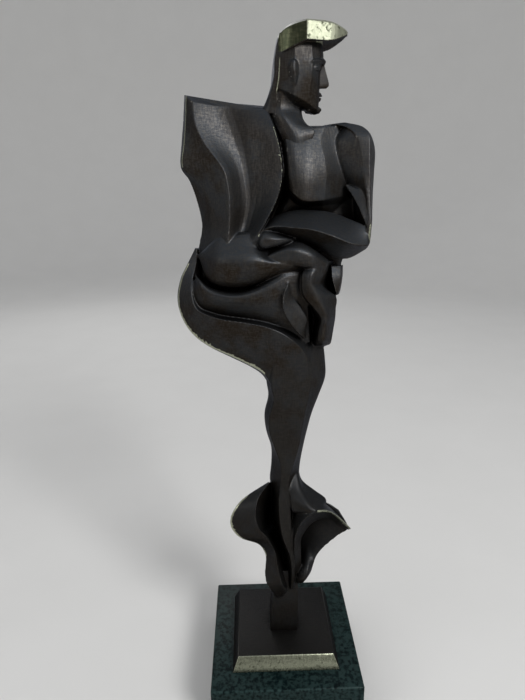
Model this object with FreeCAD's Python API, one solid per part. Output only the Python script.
import FreeCAD, Part
import math
import os
from FreeCAD import Vector

# Cast bronze statuette on a bronze plinth and a marble base, in millimetres.
# +Z is up and the front faces -Y. The origin is the centre of the underside
# that the statuette stands on.

# Overall sizes
BASE_WIDTH = 100.0            # marble block, square
BASE_THICKNESS = 30.0
BASE_CHAMFER = 0.8
PLINTH_FOOT = 72.0            # bronze plinth, a low truncated pyramid
PLINTH_TOP = 64.0
PLINTH_HEIGHT = 10.0
FIGURE_HEIGHT = 385.0         # from the plinth's top to the top of the cap
STEM_WIDTH = 19.0             # the upright that the figure grows out of
STEM_DEPTH = 21.0

# Under the base
PAD_THICKNESS = 2.0           # cork pad glued under the marble
PAD_MARGIN = 4.0              # marble left bare round the pad
COUNTERBORE_DEPTH = 15.0      # recess for the nut
COUNTERBORE_PLAY = 2.0        # radial, round the washer

# Central stud and its hardware, M8
STUD_DIAMETER = 8.0
STUD_IN_STEM = 22.0           # thread length inside the stem
STUD_TAIL = 2.0               # thread left below the nut
STUD_PLAY = 0.5               # radial, in the plinth and the marble
THREAD_PLAY = 0.05            # radial, between the stud and what it screws into
WASHER_DIAMETER = 22.0
WASHER_THICKNESS = 1.6
WASHER_PLAY = 0.2             # radial, round the stud
LOCK_WASHER_DIAMETER = 14.8
LOCK_WASHER_SPLIT = 1.0
LOCK_WASHER_THICKNESS = 2.2
NUT_FLATS = 13.0
NUT_HEIGHT = 6.5

# Casting joints
PLINTH_RIM = 9.0              # width of the plinth's seat round its cored recess
PLINTH_RECESS = 2.5           # depth of that recess
PLINTH_BOSS = 18.0            # bosses left round the stud and the dowels
TENON = 13.0                  # square tenon under the stem
TENON_LENGTH = 5.0
DOWEL_DIAMETER = 4.0          # dowels between the plinth and the marble
DOWEL_LENGTH = 14.0
DOWEL_IN_PLINTH = 6.0
DOWEL_SPACING = 40.0
FIT_PLAY = 0.1                # radial, for the tenon, spigots, dowels and pins
KNEE_SPIGOT = 14.0            # spigot of the leg in the body casting
KNEE_SPIGOT_LENGTH = 16.0
NECK_SPIGOT = 8.0             # spigot of the head in the body casting
NECK_SPIGOT_LENGTH = 12.0
KNEE_PIN = 3.0
KNEE_PIN_LENGTH = 18.0
NECK_PIN = 2.5
NECK_PIN_LENGTH = 12.0

# Head
CROWN = 384.0                 # drawn height of the top of the head, under the cap
HEAD_HEIGHT = 45.0            # drawn height of the head from chin to crown

# Holes and levels worked out from those sizes
stud_hole = STUD_DIAMETER + 2 * STUD_PLAY
stud_thread = STUD_DIAMETER + 2 * THREAD_PLAY
counterbore = WASHER_DIAMETER + 2 * COUNTERBORE_PLAY
dowel_hole = DOWEL_DIAMETER + 2 * FIT_PLAY
washer_hole = STUD_DIAMETER + 2 * WASHER_PLAY
marble_foot = PAD_THICKNESS
plinth_foot = marble_foot + BASE_THICKNESS
figure_foot = plinth_foot + PLINTH_HEIGHT

# The figure is drawn 385 high above its foot and scaled to FIGURE_HEIGHT.
DRAWN_HEIGHT = 385.0
scale = FIGURE_HEIGHT / DRAWN_HEIGHT
KNEE_SEAM = 174.0             # drawn heights of the two joints
NECK_SEAM = 329.0
KNEE_CENTRE = (6.0, 0.0)      # drawn centres of the two spigots
NECK_CENTRE = (3.0, 0.0)


def placed(point):
    """A drawn point of the figure at its real place."""
    x, y, z = point
    return Vector(x * scale, y * scale, figure_foot + z * scale)


def faceted(sections):
    """Closed solid of flat facets through sections of equally many points."""
    count = len(sections[0])
    points = [placed(point) for section in sections for point in section]
    facets = []
    for row in range(len(sections) - 1):
        low, high = row * count, (row + 1) * count
        for i in range(count):
            j = (i + 1) % count
            facets.append((low + i, low + j, high + j))
            facets.append((low + i, high + j, high + i))
    last = (len(sections) - 1) * count
    for i in range(1, count - 1):
        facets.append((0, i + 1, i))
        facets.append((last, last + i, last + i + 1))
    skin = Part.Shape()
    skin.makeShapeFromMesh((points, facets), 0.001)
    solid = Part.makeSolid(skin)
    return solid if solid.Volume > 0 else solid.reversed()


def joined(solids):
    """One solid of several that overlap."""
    return solids[0].multiFuse(solids[1:]).removeSplitter()


def upright(diameter, x, y, low, high):
    """Vertical cylinder between two heights."""
    return Part.makeCylinder(diameter / 2, high - low, Vector(x, y, low))


def block(width, depth, low, high):
    """Upright block centred on the axis."""
    corner = Vector(-width / 2, -depth / 2, low)
    return Part.makeBox(width, depth, high - low, corner)


def square(width, height):
    """Square outline centred on the axis."""
    half = width / 2
    corners = [(-half, -half), (half, -half), (half, half), (-half, half), (-half, -half)]
    return Part.makePolygon([Vector(x, y, height) for x, y in corners])


def dowel_places():
    return [(-DOWEL_SPACING / 2, 0.0), (DOWEL_SPACING / 2, 0.0)]


# ---------------------------------------------------------------- base

def cork_pad():
    width = BASE_WIDTH - 2 * PAD_MARGIN
    return block(width, width, 0.0, PAD_THICKNESS)


def marble_base():
    slab = block(BASE_WIDTH, BASE_WIDTH, marble_foot, plinth_foot)
    slab = slab.makeChamfer(BASE_CHAMFER, slab.Edges)
    cuts = [
        upright(stud_hole, 0, 0, marble_foot - 1, plinth_foot + 1),
        upright(counterbore, 0, 0, marble_foot - 1, marble_foot + COUNTERBORE_DEPTH),
    ]
    in_marble = DOWEL_LENGTH - DOWEL_IN_PLINTH
    for x, y in dowel_places():
        cuts.append(upright(dowel_hole, x, y, plinth_foot - in_marble - 1, plinth_foot + 1))
    return slab.cut(cuts)


def plinth_casting():
    pyramid = Part.makeLoft(
        [square(PLINTH_FOOT, plinth_foot), square(PLINTH_TOP, figure_foot)], True, True)
    inside = PLINTH_FOOT - 2 * PLINTH_RIM
    recess = block(inside, inside, plinth_foot - 1, plinth_foot + PLINTH_RECESS)
    for x, y in [(0.0, 0.0)] + dowel_places():
        boss = upright(PLINTH_BOSS, x, y, plinth_foot - 1, plinth_foot + PLINTH_RECESS)
        recess = recess.cut(boss)
    socket = TENON + 2 * FIT_PLAY
    cuts = [
        recess,
        upright(stud_hole, 0, 0, plinth_foot - 1, figure_foot + 1),
        block(socket, socket, figure_foot - TENON_LENGTH - FIT_PLAY, figure_foot + 1),
    ]
    for x, y in dowel_places():
        cuts.append(upright(dowel_hole, x, y, plinth_foot - 1, plinth_foot + DOWEL_IN_PLINTH + 0.5))
    return pyramid.cut(cuts)


def plinth_dowels():
    low = plinth_foot - (DOWEL_LENGTH - DOWEL_IN_PLINTH)
    pins = [upright(DOWEL_DIAMETER, x, y, low, low + DOWEL_LENGTH) for x, y in dowel_places()]
    return Part.makeCompound(pins)


# ---------------------------------------------------------------- figure

def stem():
    w, d = STEM_WIDTH / (2 * scale), STEM_DEPTH / (2 * scale)
    return faceted([
        [(-w, -d, 0), (w, -d, 0), (w, d, 0), (-w, d, 0)],
        [(-w + 1.2, -d, 20), (w + 0.3, -d, 20), (w, d - 1, 20), (-w + 1.5, d - 1, 20)],
        [(-6.5, -11, 36), (10, -10, 36), (9.5, 9, 36), (-6.5, 9, 36)],
        [(-3, -12, 56), (9, -10, 56), (9, 8, 56), (-4, 8, 56)],
    ])


def shank():
    return faceted([
        [(3, -4, 32), (5, -12, 34), (10, -2, 32), (10, 7, 30), (3, 7, 30)],
        [(0, 0, 61), (5, -17, 65), (11, 0, 61), (10, 11, 57), (-1, 11, 57)],
        [(-6, 4, 89), (1, -16, 94), (10, 3, 89), (9, 14, 86), (-4, 14, 86)],
        [(-8, 1, 114), (0, -13, 118), (11, 0, 115), (9, 11, 112), (-4, 11, 112)],
        [(-8, 1, 138), (1, -12, 142), (13, 0, 139), (10, 10, 136), (-3, 10, 136)],
        [(-11, 1, 162), (2, -12, 165), (19, 0, 162), (14, 12, 160), (-4, 12, 160)],
        [(-10, 1, 186), (3, -13, 186), (27, 0, 186), (21, 13, 185), (-3, 13, 185)],
        [(-3, 0, 212), (4, -13, 212), (25, 0, 210), (23, 11, 209), (1, 11, 209)],
    ])


def left_petal():
    return faceted([
        [(-4, -10, 33), (-1, -12, 35), (1, -3, 31), (-2, -1, 31)],
        [(-12, -12, 46), (-1, -17, 49), (3, 3, 36), (-4, 3, 38)],
        [(-12, -9, 63), (-6, -17, 68), (3, 12, 50), (-5, 8, 54)],
        [(-29, -10, 77), (-13, -18, 83), (-2, 14, 62), (-16, 10, 66)],
        [(-35, -8, 90), (-19, -16, 96), (-5, 15, 78), (-22, 11, 82)],
        [(-25, -5, 106), (-15, -11, 108), (-5, 12, 96), (-16, 8, 99)],
        [(-10, -3, 116), (-8, -7, 116), (-4, 8, 112), (-8, 4, 113)],
    ])


def right_petal():
    return faceted([
        [(6, -10, 48), (9, -13, 50), (13, -4, 46), (8, 0, 45)],
        [(6, -13, 65), (9, -19, 68), (23, -10, 58), (12, 7, 54)],
        [(6, -12, 88), (9, -22, 88), (36, -12, 76), (16, 11, 68)],
        [(12, -6, 105), (15, -24, 100), (40, -14, 82), (22, 13, 82)],
        [(28, -6, 98), (28, -23, 102), (44, -12, 83), (31, 8, 84)],
    ])


def hip():
    return faceted([
        [(-51, -3, 260), (-54, 1, 259), (-50, 4, 258), (-47, 1, 259)],
        [(-53, -12, 243), (-61, 1, 239), (-52, 13, 236), (-40, 0, 242)],
        [(-44, -17, 231), (-54, 1, 217), (-44, 14, 221), (-34, 0, 233)],
        [(-22, -18, 227), (-31, 0, 201), (-22, 15, 208), (-12, 0, 229)],
        [(4, -18, 217), (-12, -1, 189), (2, 15, 195), (14, 0, 221)],
        [(15, -12, 193), (-5, -2, 173), (4, 10, 176), (17, -2, 195)],
    ])


def hip_web():
    return faceted([
        [(-50, -6, 257), (-53, -6, 243), (-53, 8, 243), (-50, 8, 257)],
        [(-40, -8, 262), (-44, -9, 226), (-44, 9, 224), (-40, 10, 262)],
        [(-20, -10, 262), (-22, -11, 212), (-22, 11, 210), (-20, 11, 262)],
        [(4, -10, 262), (1, -11, 204), (1, 11, 201), (4, 11, 262)],
    ])


def belly():
    return faceted([
        [(-45, 2, 223), (-30, -8, 225), (5, -9, 211), (24, 2, 206), (12, 11, 205), (-31, 12, 218)],
        [(-52, 1, 250), (-30, -22, 243), (6, -19, 249), (35, 2, 250), (12, 14, 249), (-33, 14, 248)],
        [(-46, 2, 264), (-26, -25, 261), (2, -23, 266), (38, 1, 262), (15, 14, 263), (-31, 13, 263)],
        [(-43, 3, 284), (-22, -8, 282), (9, -9, 284), (46, 0, 280), (24, 13, 280), (-24, 12, 280)],
    ])


def cloak():
    return faceted([
        [(-50, 0, 262), (-36, -17, 264), (-15, -19, 265), (-14, 8, 257), (-31, 11, 257)],
        [(-47, 2, 280), (-30, -18, 281), (-10, -21, 283), (-9, 10, 279), (-27, 13, 279)],
        [(-48, 2, 293), (-30, -17, 294), (-4, -20, 294), (-4, 10, 292), (-26, 13, 292)],
        [(-57, 2, 312), (-33, -15, 312), (-1, -19, 312), (0, 10, 312), (-29, 13, 312)],
        [(-54, 3, 336), (-47, -10, 334), (-4, -14, 332), (-3, 8, 334), (-31, 10, 335)],
        [(-53, 3, 349), (-48, -6, 347), (-8, -6, 341), (-7, 5, 344), (-31, 7, 346)],
    ])


def torso():
    return faceted([
        [(-12, -7, 266), (21, -7, 264), (33, 4, 263), (12, 14, 262), (-14, 12, 262)],
        [(-3, -10, 297), (20, -15, 296), (47, 4, 298), (21, 15, 299), (-9, 9, 299)],
        [(0, -13, 318), (20, -13, 318), (47, 4, 318), (21, 14, 318), (-4, 11, 318)],
        [(-2, -8, 331), (22, -7, 333), (40, 3, 333), (21, 10, 334), (-3, 8, 334)],
    ])


def arm():
    return faceted([
        [(43, -20, 271), (47, -21, 270), (50, -9, 269), (47, 7, 268), (38, 8, 269)],
        [(42, -15, 289), (46, -19, 289), (51, -6, 288), (51, 9, 287), (38, 12, 287)],
        [(41, -11, 319), (44, -16, 319), (51, -4, 320), (52, 9, 320), (37, 12, 320)],
        [(33, -8, 332), (38, -10, 334), (46, -1, 333), (45, 8, 334), (29, 9, 334)],
        [(22, -4, 334), (28, -4, 334), (32, 1, 335), (31, 5, 335), (22, 6, 335)],
    ])


def forearm():
    return faceted([
        [(-13, -17, 280), (-13, -21, 279), (-12, -18, 277), (-10, -9, 277)],
        [(4, -13, 288), (4, -27, 281), (8, -17, 273), (8, 1, 277)],
        [(27, -13, 287), (24, -30, 276), (28, -14, 263), (30, 2, 273)],
        [(45, -17, 280), (44, -24, 270), (46, -12, 267), (47, 3, 271)],
    ])


def knee():
    return faceted([
        [(19, -14, 210), (25, -17, 211), (29, -4, 208), (25, 5, 206), (17, 2, 207)],
        [(17, -21, 233), (23, -23, 234), (31, -10, 232), (32, 7, 229), (17, 4, 229)],
        [(11, -21, 250), (17, -24, 251), (33, -12, 248), (32, 6, 247), (14, 4, 248)],
        [(16, -16, 261), (20, -18, 262), (35, -8, 259), (31, 3, 258), (17, 4, 257)],
    ])


def thigh_fold():
    return faceted([
        [(-50, -9, 252), (-51, -11, 251), (-52, -8, 248), (-47, 4, 247)],
        [(-42, -12, 246), (-42, -20, 245), (-49, -10, 233), (-39, 7, 236)],
        [(-25, -12, 244), (-24, -22, 242), (-27, -10, 226), (-22, 7, 232)],
        [(-7, -12, 250), (-4, -21, 248), (-4, -11, 219), (-1, 7, 230)],
        [(12, -10, 256), (14, -15, 249), (16, -10, 211), (20, 7, 225)],
    ])


def head():
    low = CROWN - HEAD_HEIGHT
    jaw = CROWN - HEAD_HEIGHT * 3 / 4
    return faceted([
        [(-3, -6, low), (12, -7, low), (20, -3, low), (20, 3, low), (12, 7, low), (-3, 6, low)],
        [(-4, -9, jaw), (11, -11, jaw), (23, -4, jaw), (23, 4, jaw), (11, 11, jaw), (-4, 9, jaw)],
        [(-4, -10, 370), (11, -12, 371), (23, -5, 373), (23, 5, 373), (11, 12, 371), (-4, 10, 370)],
        [(-2, -9, 376), (11, -11, 378), (21, -5, 379), (21, 5, 379), (11, 11, 378), (-2, 9, 376)],
    ])


def neck():
    return faceted([
        [(-4, -7, 329), (1, -10, 329), (11, -7, 329), (10, 7, 329), (-4, 7, 329)],
        [(-6, -5, 343), (0, -8, 343), (10, -4, 343), (10, 6, 343), (-6, 6, 343)],
        [(-4, -6, 356), (0, -9, 356), (15, -4, 356), (10, 7, 356), (-4, 6, 356)],
    ])


def cap():
    return faceted([
        [(-3, -4, 369), (-3, 4, 369), (-3, 4, 371), (-3, 0, 372), (-3, -4, 371)],
        [(5, -12, 370), (5, 12, 370), (5, 11, 377), (5, 0, 381), (5, -11, 377)],
        [(15, -15, 373), (15, 15, 373), (15, 12, 381), (16, 0, 385), (15, -12, 381)],
        [(27, -11, 376), (27, 11, 376), (27, 9, 380), (26, 0, 383), (27, -9, 380)],
        [(36, -2, 380), (36, 2, 380), (36, 1.5, 381), (35, 0, 381.6), (36, -1.5, 381)],
    ])


def across(diameter, centre, height, length):
    """Horizontal pin driven in from the back, ending the same way past the axis."""
    start = placed((centre[0], centre[1], height)) - Vector(0, length / 2, 0)
    return Part.makeCylinder(diameter / 2, length, start, Vector(0, 1, 0))


def knee_pin_heights():
    """Drawn heights of the two pins, a quarter and three quarters up the spigot."""
    return [KNEE_SEAM + KNEE_SPIGOT_LENGTH * part / scale for part in (0.25, 0.75)]


def spigot(diameter, centre, low, high):
    """Round spigot of the figure between two heights in millimetres."""
    return upright(diameter, centre[0] * scale, centre[1] * scale, low, high)


def castings():
    """The leg, body and head castings, fitted to each other."""
    seam = placed((0, 0, KNEE_SEAM)).z
    reach = 4 * BASE_WIDTH
    below = block(reach, reach, figure_foot - reach, seam)
    above = block(reach, reach, seam, seam + reach)
    lower = joined([stem(), shank(), left_petal(), right_petal()])
    upper = joined([
        shank(), hip(), hip_web(), thigh_fold(), belly(), knee(),
        cloak(), torso(), arm(), forearm(),
    ])

    leg = lower.common(below)
    leg = leg.fuse(block(TENON, TENON, figure_foot - TENON_LENGTH, figure_foot + 1))
    leg = leg.fuse(spigot(KNEE_SPIGOT, KNEE_CENTRE, seam - 1, seam + KNEE_SPIGOT_LENGTH))
    thread_foot = figure_foot - TENON_LENGTH - 1
    leg = leg.cut(upright(stud_thread, 0, 0, thread_foot, figure_foot + STUD_IN_STEM + 1))

    head_solid = joined([neck(), head(), cap()])
    collar = placed((0, 0, NECK_SEAM)).z
    low = collar - NECK_SPIGOT_LENGTH
    head_solid = head_solid.fuse(spigot(NECK_SPIGOT, NECK_CENTRE, low, collar + 1))

    body = upper.common(above).cut(neck())
    body = body.cut([
        spigot(KNEE_SPIGOT + 2 * FIT_PLAY, KNEE_CENTRE, seam - 1, seam + KNEE_SPIGOT_LENGTH + FIT_PLAY),
        spigot(NECK_SPIGOT + 2 * FIT_PLAY, NECK_CENTRE, low - FIT_PLAY, collar + 1),
    ])

    play = 2 * FIT_PLAY
    knee_holes = [
        across(KNEE_PIN + play, KNEE_CENTRE, height, KNEE_PIN_LENGTH + play)
        for height in knee_pin_heights()
    ]
    neck_hole = across(NECK_PIN + play, NECK_CENTRE, neck_pin_height(), NECK_PIN_LENGTH + play)
    leg = leg.cut(knee_holes)
    body = body.cut(knee_holes + [neck_hole])
    head_solid = head_solid.cut(neck_hole)
    return leg, body, head_solid


def neck_pin_height():
    return NECK_SEAM - NECK_SPIGOT_LENGTH / 2 / scale


def knee_pins():
    pins = [across(KNEE_PIN, KNEE_CENTRE, height, KNEE_PIN_LENGTH) for height in knee_pin_heights()]
    return Part.makeCompound(pins)


def neck_pin():
    return across(NECK_PIN, NECK_CENTRE, neck_pin_height(), NECK_PIN_LENGTH)


# ---------------------------------------------------------------- stud and nut

washer_top = marble_foot + COUNTERBORE_DEPTH
lock_top = washer_top - WASHER_THICKNESS
nut_top = lock_top - LOCK_WASHER_THICKNESS
nut_foot = nut_top - NUT_HEIGHT


def centre_stud():
    return upright(STUD_DIAMETER, 0, 0, nut_foot - STUD_TAIL, figure_foot + STUD_IN_STEM)


def ring(outer, inner, low, high):
    return upright(outer, 0, 0, low, high).cut(upright(inner, 0, 0, low - 1, high + 1))


def flat_washer():
    return ring(WASHER_DIAMETER, washer_hole, lock_top, washer_top)


def lock_washer():
    washer = ring(LOCK_WASHER_DIAMETER, washer_hole, nut_top, lock_top)
    corner = Vector(0, -LOCK_WASHER_SPLIT / 2, nut_top - 1)
    split = Part.makeBox(LOCK_WASHER_DIAMETER, LOCK_WASHER_SPLIT, LOCK_WASHER_THICKNESS + 2, corner)
    return washer.cut(split)


def stud_nut():
    radius = NUT_FLATS / 2 / math.cos(math.radians(30))
    angles = [math.radians(60 * i) for i in range(7)]
    corners = [Vector(radius * math.cos(a), radius * math.sin(a), nut_foot) for a in angles]
    hexagon = Part.Face(Part.makePolygon(corners)).extrude(Vector(0, 0, NUT_HEIGHT))
    return hexagon.cut(upright(stud_thread, 0, 0, nut_foot - 1, nut_top + 1))


os.makedirs("parts", exist_ok=True)
leg_shape, body_shape, head_shape = castings()
nodes = {
    "cork_pad": cork_pad(),
    "marble_base": marble_base(),
    "plinth_casting": plinth_casting(),
    "plinth_dowels": plinth_dowels(),
    "leg_casting": leg_shape,
    "body_casting": body_shape,
    "head_casting": head_shape,
    "knee_pins": knee_pins(),
    "neck_pin": neck_pin(),
    "centre_stud": centre_stud(),
    "flat_washer": flat_washer(),
    "lock_washer": lock_washer(),
    "stud_nut": stud_nut(),
}
for name, shape in nodes.items():
    shape.exportStep("parts/" + name + ".step")
    print(name, "solids", len(shape.Solids), "volume", round(shape.Volume), "valid", shape.isValid())
